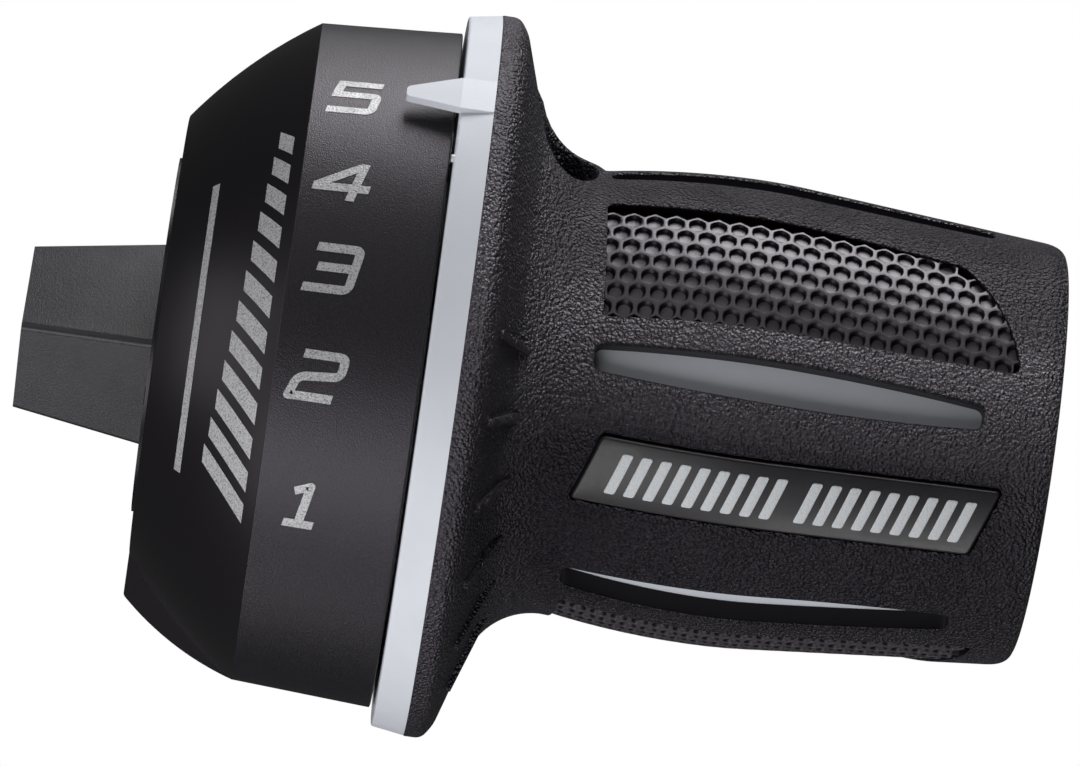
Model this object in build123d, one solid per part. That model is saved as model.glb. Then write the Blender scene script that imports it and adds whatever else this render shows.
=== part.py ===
import os
from math import acos, asin, atan2, cos, degrees, hypot, radians, sin, sqrt

from build123d import *

# Right-hand twist shifter. X runs along the handlebar, outboard positive, with the origin where the
# indicator ring meets the drum. Angles are counted from the rider's side (-Y), upwards to +Z.

# Radii, built up outwards from the handlebar
bar_diameter = 22.2
clamp_clearance = 0.1
hub_wall = 1.2
running_clearance = 0.08
core_wall = 3.32
cover_wall = 1.8
crest_rise = 0.98
end_drop = 1.0
spool_wall = 3.02
disc_height = 6.0
spring_space = 2.7
drum_wall = 1.8
drum_draft = 0.7
ring_step = 1.4
ring_draft = 0.4
cone_drop = 8.65
lobe_drop = 5.4
cone_bulge = 0.75
lobe_bulge = 0.72
lobe_high = 275.0
lobe_low = 125.0

# Lengths along the handlebar
cone_length = 9.3
drum_length = 11.0
ring_gap = 0.3
ring_width = 2.6
rim_width = 1.4
flare_length = 8.0
crest_distance = 12.0
barrel_length = 37.0
end_wall = 2.0
collar_proud = 0.3
collar_length = 11.6
disc_width = 5.0
disc_gap = 0.8
groove_width = 3.0
washer_thickness = 0.5
retainer_thickness = 1.0
axial_play = 0.1
hub_end_inset = 1.5
retainer_inset = 1.6
retainer_groove = 0.6
retainer_height = 1.2
retainer_slack = 0.1
retainer_gap = 3.0
end_washer_height = 1.4
end_bore_height = 1.6
edge_round = 0.4
mouth_round = 0.12
ring_round = 0.2

# Gear positions, in degrees of twist from the highest gear
gear_twist = [0.0, 19.0, 35.0, 53.0, 75.5]
pointer_angle = 48.9

# Clamp
collar_wall = 2.8
slit_width = 1.4
ear_thickness = 3.7
ear_height = 7.8
ear_gap = 1.3
ear_root = 1.0
bolt_drop = 3.0
slit_overrun = 2.0
relief_high = -25.0
relief_low = -150.0
relief_width = 1.2
bolt_diameter = 4.0
bolt_head_diameter = 7.0
bolt_head_height = 4.0
bolt_socket = 3.0
bolt_hole_clearance = 0.15
key_clearance = 0.4
nut_flats = 7.0
nut_thickness = 3.2
nut_clearance = 0.1

# Cable outlet
nozzle_inset = 6.4
nozzle_drop = 0.83
nozzle_length = 11.25
nozzle_root = 8.5
nozzle_tip = 6.78
nozzle_flat = 0.62
nozzle_round = 0.6
latch_width = 2.0
latch_length = 0.8
latch_depth = 1.2
plug_half = 6.3
plug_length = 5.0
plug_clearance = 0.05
boss_wall = 1.5
boss_length = 6.3
casing_diameter = 5.0
casing_clearance = 0.1
casing_depth = 9.0
wire_diameter = 1.2
wire_clearance = 0.3
wire_lay = 0.2
guide_bend = 7.0
guide_size = 4.4
guide_gap = 0.3
wire_head_diameter = 4.4
wire_head_length = 4.5
wire_head_lead = 25.0

# Detent and stops
spring_angle = 45.0
spring_thickness = 0.5
spring_width = 4.0
spring_half_angle = 30.0
nose_radius = 1.0
nose_clearance = 0.35
nose_height = 0.25
spring_wall_gap = 0.1
spring_lift = 0.55
spring_neck_angle = 5.0
spring_bow = 0.25
post_angle = 3.0
stop_angle = -20.0
stop_width = 2.4
stop_gap = 0.3
stop_reach = 1.7
dog_count = 3
dog_width = 4.0
dog_length = 2.0
dog_height = 2.4
dog_clearance = 0.05
dog_rise = 2.0
dog_angle = -80.0

# Indicator ring and pointer
pointer_length = 4.2
pointer_root_width = 3.6
pointer_tip_width = 1.1
pointer_tip_round = 0.45
pointer_thickness = 0.6
pointer_fall = 0.6
pointer_proud = 0.1
gate_angle = 36.0
gate_radius = 0.3
gate_length = 0.2

# Features of the cover
cover_clearance = 0.05
cover_lip = 0.8
end_round = 1.0
rim_slope_length = 0.8
rim_slope_drop = 1.1
throat_round = 5.6
crest_round = 50.0
parting_angle = 62.0
rib_pitch = 15.0
rib_first = 8.0
rib_count = 6
rib_width = 0.6
rib_start = 1.5
rib_length = 2.6
rib_height = 0.4
rib_bury = 0.4
slot_angles = [9.0, -54.0, 78.5, -123.5, 157.5]
slot_start = 12.8
slot_length = 30.3
slot_half_start = 1.2
slot_half_middle = 1.7
slot_half_end = 1.05
slot_middle = 0.47
slot_corner_share = 0.75
window_angles = [(37.5, 1), (-82.5, -1), (117.5, 1), (-162.5, -1)]
window_start = 13.1
window_length = 32.5
window_lean = 0.6
window_high_start = 5.65
window_high_end = 4.2
window_low_start = 5.2
window_low_end = 4.75
window_short = 5.1
window_depth = 0.45
window_corner = 0.6
window_curve = 2.3
window_curve_height = 1.2
badge_angle = -18.8
badge_start = 12.5
badge_length = 31.0
badge_half_width = 2.72
badge_slant = 1.7
badge_tilt = -0.8
badge_seat = 0.9
badge_proud = 0.25
badge_corner = 0.5
badge_clearance = 0.15
port_angle = 77.0
port_start = 6.9
port_length = 4.8
port_width = 7.0
port_floor = 0.7
port_rim_high = 93.0
port_rim_low = 88.0
port_rim_proud = 0.35

# Radii that follow
bore_radius = bar_diameter / 2 + clamp_clearance
hub_radius = bore_radius + hub_wall
core_bore = hub_radius + running_clearance
core_neck = core_bore + core_wall
neck_radius = core_neck + cover_wall
crest_radius = neck_radius + crest_rise
end_radius = neck_radius - end_drop
groove_radius = core_bore + spool_wall
disc_radius = groove_radius + disc_height
drum_bore = disc_radius + spring_space
drum_radius = drum_bore + drum_wall
drum_mouth_radius = drum_radius + drum_draft
nozzle_radius = drum_radius - nozzle_inset
ring_radius = drum_mouth_radius + ring_step
rim_radius = ring_radius + ring_draft + cover_clearance
collar_radius = bore_radius + collar_wall
wire_wind = groove_radius + wire_diameter / 2 + wire_lay

# Places along the handlebar that follow
drum_end = -ring_gap
cone_start = drum_end - drum_length - cone_length
drum_start = cone_start + cone_length
collar_end = cone_start - collar_proud + collar_length
spool_start = collar_end + washer_thickness
disc_start = -disc_gap - disc_width
neck_x = ring_width + rim_width + flare_length
crest_x = neck_x + crest_distance
end_x = neck_x + barrel_length
core_end = end_x - cover_lip
hub_end = end_x - hub_end_inset
retainer_start = hub_end - retainer_inset
bearing_end = retainer_start - washer_thickness - axial_play
boss_end = cone_start + boss_length
casing_radius = casing_diameter / 2 + casing_clearance
wire_hole = wire_diameter / 2 + wire_clearance


def turned(outline, arc=360.0):
    """A solid turned about the handlebar from an outline of (along, radius)."""
    return revolve(Plane.XZ * outline, Axis.X, arc)


def ring(start, stop, inner, outer):
    """A plain ring round the handlebar."""
    outline = Pos((start + stop) / 2, (inner + outer) / 2) * Rectangle(stop - start, outer - inner)
    return turned(outline)


def at_angle(angle, shape):
    """Turns a shape that was made pointing up, so that it points at an angle."""
    return Rot(X=90 - angle) * shape


def sector(outline, high, low):
    """The part of a turned solid between two angles."""
    return at_angle(high, turned(outline, high - low))


def corners(sketch, *places):
    """The corners of a sketch that lie nearest to some places."""
    return [min(sketch.vertices(), key=lambda v: hypot(v.X - x, v.Y - y)) for x, y in places]


def inside(radius, start, stop):
    """A solid rod along the handlebar."""
    return ring(start, stop, 0, radius)


def bore_tool():
    """The handlebar's own hole, right through."""
    return inside(bore_radius, cone_start - collar_length, end_x + collar_length)


def cone_outline(drop, bulge, inner):
    """Half section of the cone and drum, solid down to an inner radius."""
    start_radius = drum_radius - drop
    middle = ((cone_start + drum_start) / 2, (start_radius + drum_radius) / 2 + bulge)
    lines = [
        Line((cone_start, inner), (cone_start, start_radius)),
        ThreePointArc((cone_start, start_radius), middle, (drum_start, drum_radius)),
        Line((drum_start, drum_radius), (drum_end, drum_mouth_radius)),
        Line((drum_end, drum_mouth_radius), (drum_end, inner)),
        Line((drum_end, inner), (cone_start, inner)),
    ]
    outline = make_face(lines)
    outline = fillet(corners(outline, (cone_start, start_radius)), edge_round)
    return fillet(corners(outline, (drum_end, drum_mouth_radius)), mouth_round)


def housing_outside():
    """The cone and drum as a full body, with the lobe round the back and underside."""
    cone = turned(cone_outline(cone_drop, cone_bulge, 0))
    lobe = cone_outline(lobe_drop, lobe_bulge, collar_radius)
    return cone + sector(lobe, lobe_high, lobe_low)


def housing_hollow():
    """The space inside the drum, open at its outboard end."""
    cavity_start = cone_start + end_wall
    slope = cone_drop / cone_length
    start_radius = drum_bore - (drum_start - cavity_start) * slope
    outline = make_face(
        Polyline(
            (cavity_start, 0),
            (cavity_start, start_radius),
            (drum_start, drum_bore),
            (drum_end, drum_bore + drum_draft),
            (drum_end, 0),
            close=True,
        )
    )
    return turned(outline)


def clamp_axis_x():
    """Where the clamp bolt crosses, halfway along the ears."""
    return (cone_start + end_wall + ear_gap + collar_end) / 2


def clamp_axis_z():
    """How far below the handlebar's centre the clamp bolt lies."""
    return -(collar_radius + bolt_drop)


def clamp_collar():
    """The split collar with its two ears and the hub that the grip turns on."""
    collar = ring(cone_start - collar_proud, collar_end, 0, collar_radius)
    hub = ring(collar_end, hub_end, 0, hub_radius)
    ear_start = cone_start + end_wall + ear_gap
    ear_length = collar_end - ear_start
    ear_top = collar_radius - ear_root
    ear = Box(
        ear_length,
        slit_width + 2 * ear_thickness,
        ear_height,
        align=(Align.MIN, Align.CENTER, Align.MAX),
    )
    return collar + hub + Pos(ear_start, 0, -ear_top) * ear


def clamp_cuts():
    """The slit, the slot that frees the collar from the end wall, the bolt's hole and the nut's seat."""
    slit_length = collar_length + 2 * collar_proud + slit_overrun
    slit = Pos(cone_start - 2 * collar_proud, 0, 0) * Box(
        slit_length,
        slit_width,
        collar_radius + ear_height,
        align=(Align.MIN, Align.CENTER, Align.MAX),
    )
    wall = Pos(cone_start + end_wall / 2, collar_radius + relief_width / 2) * Rectangle(
        2 * end_wall, relief_width
    )
    relief = sector(wall, relief_high, relief_low)
    bolt_line = Pos(clamp_axis_x(), 0, clamp_axis_z()) * Rot(X=-90)
    hole = bolt_line * Cylinder(
        bolt_diameter / 2 + bolt_hole_clearance,
        slit_width + 3 * ear_thickness,
    )
    ear_face = slit_width / 2 + ear_thickness
    way = bolt_line * Pos(0, 0, ear_face) * Cylinder(
        bolt_head_diameter / 2 + key_clearance,
        drum_mouth_radius,
        align=(Align.CENTER, Align.CENTER, Align.MIN),
    )
    seat = extrude(RegularPolygon(nut_flats / 2 + nut_clearance, 6, major_radius=False), nut_thickness)
    nut_seat = bolt_line * Pos(0, 0, -ear_face) * seat
    return [slit, relief, hole, way, nut_seat]


def diamond(half):
    """The outlet's section: a square on its corner, with the corner away from the bar cut flat."""
    flat = nozzle_flat * half
    points = [(-half, 0), (0, half), (flat, half - flat), (flat, flat - half), (0, -half)]
    outline = make_face(Polyline(*points, close=True))
    return fillet(outline.vertices(), nozzle_round)


def outlet_plane(along):
    """The plane of the outlet's section at a place along the handlebar."""
    return Plane(origin=(along, nozzle_radius, -nozzle_drop), x_dir=(0, 1, 0), z_dir=(1, 0, 0))


def outlet_angle():
    """The angle at which the outlet lies behind the bar."""
    return 180.0 + degrees(atan2(nozzle_drop, nozzle_radius))


def outlet_distance():
    """The outlet's distance from the handlebar's centre line."""
    return hypot(nozzle_radius, nozzle_drop)


def wire_offset():
    """How far the outlet lies sideways of the line on which the wire meets the spool."""
    return sqrt(outlet_distance() ** 2 - wire_wind**2)


def meeting_angle():
    """The angle at which the wire meets the spool."""
    return outlet_angle() - degrees(atan2(wire_offset(), wire_wind))


def wire_sweep(section):
    """A section carried round the bend from the outlet to the spool, made pointing up."""
    bend_start = spool_start + groove_width / 2 - guide_bend
    place = Plane.YZ.offset(bend_start) * Pos(wire_offset(), wire_wind) * section
    axis = Axis((bend_start, wire_offset() - guide_bend, 0), (0, 0, -1))
    bend = revolve(place, axis, 90)
    run = extrude(place, -(bend_start - boss_end) - plug_length)
    return bend + run


def cable_boss():
    """The socket for the outlet and the curved guide that leads the wire to the spool."""
    boss = extrude(outlet_plane(cone_start) * diamond(plug_half + boss_wall), boss_length)
    boss = boss & inside(drum_radius, cone_start, drum_start + boss_length)
    guide = at_angle(meeting_angle(), wire_sweep(Rectangle(guide_size, guide_size)))
    front = inside(drum_mouth_radius, disc_start - guide_gap, end_x)
    core = inside(groove_radius + guide_gap, collar_end, end_x)
    return boss, guide - front - core


def boss_cuts():
    """The outlet's seat and the wire's way through."""
    seat = extrude(outlet_plane(cone_start) * diamond(plug_half + plug_clearance), plug_length)
    way = at_angle(meeting_angle(), wire_sweep(Circle(wire_hole)))
    return [seat, way]


def drum_rib(angle, width, reach):
    """A rib along the drum's inside, beside the detent disc."""
    rib = Box(
        disc_width,
        width,
        reach + drum_wall / 2,
        align=(Align.MIN, Align.CENTER, Align.MIN),
    )
    return at_angle(angle, Pos(disc_start, 0, drum_bore - reach) * rib)


def stop_half_angle():
    """Half the angle that the lug and a stop take up when they meet."""
    return degrees((stop_width + stop_gap) / disc_radius)


def housing():
    """The fixed moulding: drum, clamp, hub, cable socket, spring seats and stops."""
    boss, guide = cable_boss()
    shell = housing_outside() + boss - housing_hollow()
    inner_boss = boss & housing_hollow()
    body = shell + inner_boss + clamp_collar() + guide
    for side in (-1, 1):
        body += drum_rib(spring_angle + side * (spring_half_angle + post_angle), stop_width / 2, stop_reach)
    body += drum_rib(stop_angle + stop_half_angle(), stop_width, stop_reach)
    body += drum_rib(stop_angle - gear_twist[-1] - stop_half_angle(), stop_width, stop_reach)
    for cut in clamp_cuts() + boss_cuts():
        body -= cut
    groove_end = retainer_start + retainer_thickness + axial_play
    groove = ring(retainer_start, groove_end, hub_radius - retainer_groove, hub_radius + retainer_height)
    return body - bore_tool() - groove


def cable_nozzle():
    """The outlet that plugs into the housing and takes the end of the cable casing."""
    tip = outlet_plane(cone_start - nozzle_length) * diamond(nozzle_tip)
    root = outlet_plane(cone_start) * diamond(nozzle_root)
    horn = loft([tip, root])
    plug = extrude(outlet_plane(cone_start) * diamond(plug_half), plug_length)
    mouth = outlet_plane(cone_start - nozzle_length)
    socket = extrude(mouth * Circle(casing_radius), casing_depth)
    wire = extrude(mouth * Circle(wire_hole), nozzle_length + plug_length)
    room_start = cone_start - collar_proud - plug_clearance
    collar_room = inside(collar_radius + plug_clearance, room_start, cone_start)
    return horn + plug - socket - wire - collar_room - latch_notch()


def latch_notch():
    """The small notch in the outlet's lower bar-side face, beside the housing."""
    middle = outlet_plane(cone_start - latch_length) * Pos(-nozzle_root / 2, -nozzle_root / 2)
    notch = Rot(Z=45) * Rectangle(2 * latch_depth, latch_width)
    return extrude(middle * notch, latch_length)


def clamp_bolt():
    """The socket-head bolt through the ears."""
    ear_face = slit_width / 2 + ear_thickness
    shank_length = 2 * ear_face
    head = Pos(0, 0, ear_face) * Cylinder(
        bolt_head_diameter / 2, bolt_head_height, align=(Align.CENTER, Align.CENTER, Align.MIN)
    )
    shank = Pos(0, 0, ear_face) * Cylinder(
        bolt_diameter / 2, shank_length, align=(Align.CENTER, Align.CENTER, Align.MAX)
    )
    key = extrude(RegularPolygon(bolt_socket / 2, 6, major_radius=False), -bolt_head_height / 2)
    bolt = head + shank - Pos(0, 0, ear_face + bolt_head_height) * key
    return Pos(clamp_axis_x(), 0, clamp_axis_z()) * Rot(X=-90) * bolt


def clamp_nut():
    """The hexagon nut in the ear on the rider's side."""
    ear_face = slit_width / 2 + ear_thickness
    nut = extrude(RegularPolygon(nut_flats / 2, 6, major_radius=False), nut_thickness)
    nut -= Cylinder(bolt_diameter / 2, 3 * nut_thickness)
    return Pos(clamp_axis_x(), 0, clamp_axis_z()) * Rot(X=-90) * Pos(0, 0, -ear_face) * nut


def on_circle(radius, angle):
    """A point on a circle round the handlebar, with the angle counted from straight up."""
    return (radius * sin(radians(angle)), radius * cos(radians(angle)))


def detent_spring():
    """The leaf spring whose nose drops into the spool's notches."""
    half = spring_thickness / 2
    nose_centre = disc_radius + nose_height
    nose_line = nose_radius - half
    arm_end = drum_bore - half - spring_wall_gap
    shoulder = nose_centre + nose_line + spring_lift
    arms = []
    for side in (-1, 1):
        start = on_circle(arm_end, side * spring_half_angle)
        middle_radius = (arm_end + shoulder) / 2 + spring_bow
        middle = on_circle(middle_radius, side * (spring_half_angle + spring_neck_angle) / 2)
        stop = on_circle(shoulder, side * spring_neck_angle)
        arms.append(ThreePointArc(start, middle, stop))
        arms.append(Line(stop, (side * nose_line, nose_centre)))
    nose = ThreePointArc((-nose_line, nose_centre), (0, nose_centre - nose_line), (nose_line, nose_centre))
    strip = trace(Curve() + arms + nose, spring_thickness)
    start = disc_start + (disc_width - spring_width) / 2
    spring = extrude(Plane.YZ.offset(start) * strip, spring_width)
    return at_angle(spring_angle, spring)


def thrust_washer():
    """Runs between the collar's shoulder and the spool."""
    return ring(collar_end, spool_start - axial_play / 2, core_bore, collar_radius)


def end_washer():
    """Runs between the core's shoulder and the retaining ring."""
    start = bearing_end + axial_play / 2
    return ring(start, start + washer_thickness, core_bore, hub_radius + end_washer_height)


def retaining_ring():
    """The split ring that sits in the hub's groove."""
    start = retainer_start + axial_play / 2
    inner = hub_radius - retainer_groove + retainer_slack
    ring_body = ring(start, start + retainer_thickness, inner, hub_radius + retainer_height)
    upwards = (Align.CENTER, Align.CENTER, Align.MIN)
    gap = Box(4 * retainer_thickness, retainer_gap, 2 * hub_radius, align=upwards)
    return ring_body - Pos(start, 0, 0) * gap


def dogs(clearance):
    """The dogs that tie the spool to the core."""
    shapes = []
    for number in range(dog_count):
        dog = Box(
            dog_length + clearance,
            dog_width + 2 * clearance,
            dog_height + 2 * clearance,
            align=(Align.MAX, Align.CENTER, Align.CENTER),
        )
        place = Pos(0, 0, groove_radius + dog_rise)
        shapes.append(at_angle(360 * number / dog_count + dog_angle, place * dog))
    return shapes


def cable_spool():
    """Winds the wire, holds its head and carries the detent notches and the stop lug."""
    drum = ring(spool_start, 0, core_bore, groove_radius)
    disc = ring(disc_start, -axial_play, core_bore, disc_radius)
    lug = Box(disc_width, stop_width, spring_space, align=(Align.MIN, Align.CENTER, Align.MAX))
    lug_top = drum_bore - stop_gap
    spool = drum + disc + at_angle(stop_angle, Pos(disc_start, 0, lug_top) * lug)
    for twist in gear_twist:
        notch = Cylinder(nose_radius + nose_clearance, 3 * disc_width, rotation=(0, 90, 0))
        spool -= at_angle(spring_angle + twist, Pos(disc_start, 0, disc_radius + nose_height) * notch)
    head_angle = meeting_angle() - wire_head_lead
    pocket = Cylinder(
        wire_head_diameter / 2,
        wire_head_length,
        rotation=(0, 90, 0),
        align=(Align.CENTER, Align.CENTER, Align.MIN),
    )
    spool -= at_angle(head_angle, Pos(spool_start, 0, wire_wind) * pocket)
    for dog in dogs(dog_clearance):
        spool -= dog
    return spool


def throat_centre():
    """The centre of the hollow round between the flare and the neck."""
    return (neck_x, neck_radius + throat_round)


def flare_top():
    """Where the flare starts, below the rim's slope."""
    return (ring_width + rim_width + rim_slope_length, rim_radius - rim_slope_drop)


def flare_foot():
    """Where the flare's straight face runs into the hollow round."""
    top = flare_top()
    centre = throat_centre()
    across = centre[0] - top[0]
    down = top[1] - centre[1]
    distance = hypot(across, down)
    steepness = atan2(down, across) + asin(throat_round / distance)
    length = sqrt(distance**2 - throat_round**2)
    return (top[0] + length * cos(steepness), top[1] - length * sin(steepness))


def swell_start():
    """Where the hollow round passes into the swell of the barrel, with a common slope."""
    reach = (crest_distance**2 + crest_rise**2) / (2 * crest_rise)
    share = throat_round / reach
    centre = throat_centre()
    return (centre[0] + share * crest_distance, centre[1] - share * (reach - crest_rise))


def taper_start():
    """Where the round of the crest passes into the straight taper."""
    length = end_x - crest_x
    depth = crest_round - (crest_radius - end_radius)
    turn = atan2(length, depth) - acos(crest_round / hypot(length, depth))
    return (crest_x + crest_round * sin(turn), crest_radius - crest_round * (1 - cos(turn)))


def barrel_lines(offset):
    """The barrel's outline from the neck's swell to the grip's end, moved in by an offset."""
    start = swell_start()
    taper = taper_start()
    swell = TangentArc((crest_x, crest_radius), start, tangent=(-1, 0))
    crest = TangentArc((crest_x, crest_radius), taper, tangent=(1, 0))
    lines = [swell, crest, Line(taper, (end_x, end_radius))]
    return [Pos(0, -offset) * line for line in lines]


def barrel_body(offset):
    """The barrel as a full body, carried on straight towards the ring."""
    start_x, start_radius = swell_start()
    start_radius -= offset
    lines = barrel_lines(offset) + [
        Line((end_x, end_radius - offset), (end_x, 0)),
        Line((end_x, 0), (0, 0)),
        Line((0, 0), (0, start_radius)),
        Line((0, start_radius), (start_x, start_radius)),
    ]
    return at_angle(parting_angle, turned(make_face(lines)))


def flare_radius(along):
    """The flare's radius at a place along the handlebar."""
    top = flare_top()
    foot = flare_foot()
    if along < foot[0]:
        return top[1] + (along - top[0]) * (foot[1] - top[1]) / (foot[0] - top[0])
    centre = throat_centre()
    return centre[1] - sqrt(throat_round**2 - (along - centre[0]) ** 2)


def flare_rib():
    """A thin fin in the hollow of the flare, made pointing up: blunt at its outer end, its foot buried."""
    start = ring_width + rim_width + rib_start
    stop = start + rib_length
    slope = (flare_radius(stop) - flare_radius(start)) / rib_length
    square = sqrt(1 + slope**2)
    top = (start - slope / square * rib_height, flare_radius(start) + rib_height / square)
    foot = (start + slope / square * rib_bury, flare_radius(start) - rib_bury / square)
    low = (stop + rib_bury, flare_radius(stop) + slope * rib_bury)
    fin = make_face(Polyline(top, low, (foot[0], low[1]), foot, close=True))
    return extrude(Plane.XZ * fin, rib_width / 2, both=True)


def port_rim():
    """The low rim along the far side of the port."""
    band = Pos(port_start + port_length / 2, neck_radius) * Rectangle(port_length + 2, rim_radius)
    raised = (Pos(port_rim_proud, port_rim_proud) * cover_outline()) & band
    return sector(raised, port_rim_high, port_rim_low)


def cover_outline():
    """Half section of the cover's outside, solid down to the centre line."""
    centre = throat_centre()
    hollow = ThreePointArc(flare_foot(), (centre[0], neck_radius), swell_start())
    rim_end = ring_width + rim_width
    lines = [
        Line((ring_width, 0), (ring_width, rim_radius)),
        Line((ring_width, rim_radius), (rim_end, rim_radius)),
        Line((rim_end, rim_radius), flare_top()),
        Line(flare_top(), flare_foot()),
        hollow,
        *barrel_lines(0),
        Line((end_x, end_radius), (end_x, 0)),
        Line((end_x, 0), (ring_width, 0)),
    ]
    outline = make_face(lines)
    return fillet(corners(outline, (end_x, end_radius)), end_round)


def core_body(clearance):
    """The core's outside below the cover, grown by a clearance."""
    body = barrel_body(cover_wall - clearance)
    return body & inside(rim_radius, 0, core_end + clearance)


def slot_outline():
    """A leaf-shaped slot, blunt towards the flare."""
    stop = slot_start + slot_length
    middle = slot_start + slot_middle * slot_length
    first = (slot_start, slot_half_start)
    last = (stop, slot_half_end)
    lines = [
        ThreePointArc(first, (middle, slot_half_middle), last),
        Line(last, (stop, -slot_half_end)),
        ThreePointArc((stop, -slot_half_end), (middle, -slot_half_middle), (slot_start, -slot_half_start)),
        Line((slot_start, -slot_half_start), first),
    ]
    outline = make_face(lines)
    for along, half in (first, last):
        ends = corners(outline, (along, half), (along, -half))
        outline = fillet(ends, slot_corner_share * half)
    return outline


def window_outline(side):
    """A honeycomb window, with its long edge on the low side and a curved end that falls to a point."""
    stop = window_start + window_length
    high_start = (window_start - window_lean, side * window_high_start)
    high_end = (stop - window_short, side * window_high_end)
    low_start = (window_start, -side * window_low_start)
    low_end = (stop, -side * window_low_end)
    middle = (stop - window_curve, side * window_curve_height)
    lines = [
        Line(high_start, low_start),
        Line(low_start, low_end),
        ThreePointArc(low_end, middle, high_end),
        Line(high_end, high_start),
    ]
    outline = make_face(lines)
    return fillet(outline.vertices(), window_corner)


def badge_outline(grow):
    """The plate's slanted outline, grown by a clearance."""
    half = badge_half_width
    stop = badge_start + badge_length
    points = [
        (badge_start, -half),
        (stop, -half),
        (stop + badge_slant, half),
        (badge_start + badge_slant, half),
    ]
    outline = make_face(Polyline(*points, close=True))
    outline = fillet(outline.vertices(), badge_corner)
    centre = Pos(badge_start + badge_length / 2)
    outline = centre * Rot(Z=badge_tilt) * centre.inverse() * outline
    return offset(outline, grow) if grow else outline


def stamp(outline, angle):
    """An outline carried outwards through the cover at an angle."""
    height = rim_radius
    return at_angle(angle, Pos(0, 0, core_bore) * extrude(outline, height - core_bore))


def port_cut():
    """The opening in the flare's throat above the wire's head."""
    outline = Pos(port_start + port_length / 2, 0) * Ellipse(port_length / 2, port_width / 2)
    pocket = extrude(outline, rim_radius - core_neck)
    return at_angle(port_angle, Pos(0, 0, core_neck + port_floor) * pocket)


def grip_cover():
    """The rubber cover with its slots, windows, plate seat and port."""
    cover = at_angle(parting_angle, turned(cover_outline())) + port_rim()
    for number in range(rib_count):
        cover += at_angle(rib_first - number * rib_pitch, flare_rib())
    cover -= core_body(cover_clearance)
    cover -= inside(end_bore(), ring_width, end_x + 1)
    for angle in slot_angles:
        cover -= stamp(slot_outline(), angle)
    floor = barrel_body(window_depth)
    for angle, side in window_angles:
        cover -= stamp(window_outline(side), angle) - floor
    cover -= stamp(badge_outline(badge_clearance), badge_angle) - barrel_body(badge_seat)
    return cover - port_cut()


def badge_plate():
    """The smooth plate let into the cover."""
    plate = stamp(badge_outline(0), badge_angle)
    return (plate & barrel_body(-badge_proud)) - barrel_body(badge_seat)


def end_bore():
    """The wider bore at the grip's end, round the washer and the retaining ring."""
    return hub_radius + end_bore_height


def pointer():
    """The wedge that reaches over the drum to the gear numbers."""
    tip = pointer_tip_width / 2
    root = pointer_root_width / 2
    points = [
        (ring_width, root),
        (0, root),
        (-pointer_length, tip),
        (-pointer_length, -tip),
        (0, -root),
        (ring_width, -root),
    ]
    outline = make_face(Polyline(*points, close=True))
    outline = fillet(corners(outline, (-pointer_length, tip), (-pointer_length, -tip)), pointer_tip_round)
    wedge = Pos(0, 0, core_neck) * extrude(outline, ring_radius)
    top = ring_radius + ring_draft + pointer_proud
    blade = make_face(
        Polyline(
            (ring_width, top - pointer_thickness),
            (ring_width, top),
            (0, top),
            (-pointer_length, top - pointer_fall),
            (-pointer_length, top - pointer_fall - pointer_thickness),
            (0, top - pointer_thickness),
            close=True,
        )
    )
    return at_angle(pointer_angle, wedge) & turned(blade)


def gate_mark():
    """The small nub that moulding leaves on the ring's inboard edge."""
    nub = Cylinder(gate_radius, gate_length + edge_round, rotation=(0, 90, 0))
    along = (edge_round - gate_length) / 2
    return at_angle(gate_angle, Pos(along, 0, ring_radius - gate_radius) * nub)


def grip_core():
    """The light moulding under the cover, with the indicator ring, the pointer, the gate mark and the dogs."""
    flange = make_face(
        Polyline(
            (0, core_bore),
            (0, ring_radius),
            (ring_width, ring_radius + ring_draft),
            (ring_width, core_bore),
            close=True,
        )
    )
    flange = fillet(corners(flange, (0, ring_radius)), ring_round)
    core = core_body(0) + turned(flange) + pointer() + gate_mark()
    for dog in dogs(0):
        core += dog
    core -= inside(core_bore, -dog_length - 1, end_x)
    return core - inside(end_bore(), bearing_end, end_x + 1)


parts = {
    "housing": housing,
    "cable_nozzle": cable_nozzle,
    "clamp_bolt": clamp_bolt,
    "clamp_nut": clamp_nut,
    "detent_spring": detent_spring,
    "thrust_washer": thrust_washer,
    "end_washer": end_washer,
    "retaining_ring": retaining_ring,
    "cable_spool": cable_spool,
    "grip_core": grip_core,
    "grip_cover": grip_cover,
    "badge_plate": badge_plate,
}

os.makedirs("parts", exist_ok=True)
for name, make in parts.items():
    export_step(make(), f"parts/{name}.step")
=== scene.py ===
import math

import bmesh
import bpy
import numpy as np
from mathutils import Matrix, Vector, geometry


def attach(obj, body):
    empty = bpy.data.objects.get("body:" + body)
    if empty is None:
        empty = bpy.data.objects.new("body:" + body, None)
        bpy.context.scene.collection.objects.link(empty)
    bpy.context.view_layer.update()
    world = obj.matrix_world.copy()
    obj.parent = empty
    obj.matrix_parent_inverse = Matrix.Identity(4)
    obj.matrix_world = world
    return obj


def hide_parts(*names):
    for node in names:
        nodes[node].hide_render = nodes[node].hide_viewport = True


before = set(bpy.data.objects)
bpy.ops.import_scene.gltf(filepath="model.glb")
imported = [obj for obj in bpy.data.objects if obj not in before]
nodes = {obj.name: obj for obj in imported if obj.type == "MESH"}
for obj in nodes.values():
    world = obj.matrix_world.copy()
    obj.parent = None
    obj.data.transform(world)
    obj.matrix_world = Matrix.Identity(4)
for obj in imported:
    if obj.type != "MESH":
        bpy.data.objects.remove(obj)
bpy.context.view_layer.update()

# Sizes are in millimetres along and round the handlebar, and angles in degrees from the rider's side upwards
mm = 0.001
weldGap = 1e-7  # metres, for merging points
flatGap = 1e-6  # millimetres, for filling a flat sheet with triangles
scene = bpy.context.scene
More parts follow.
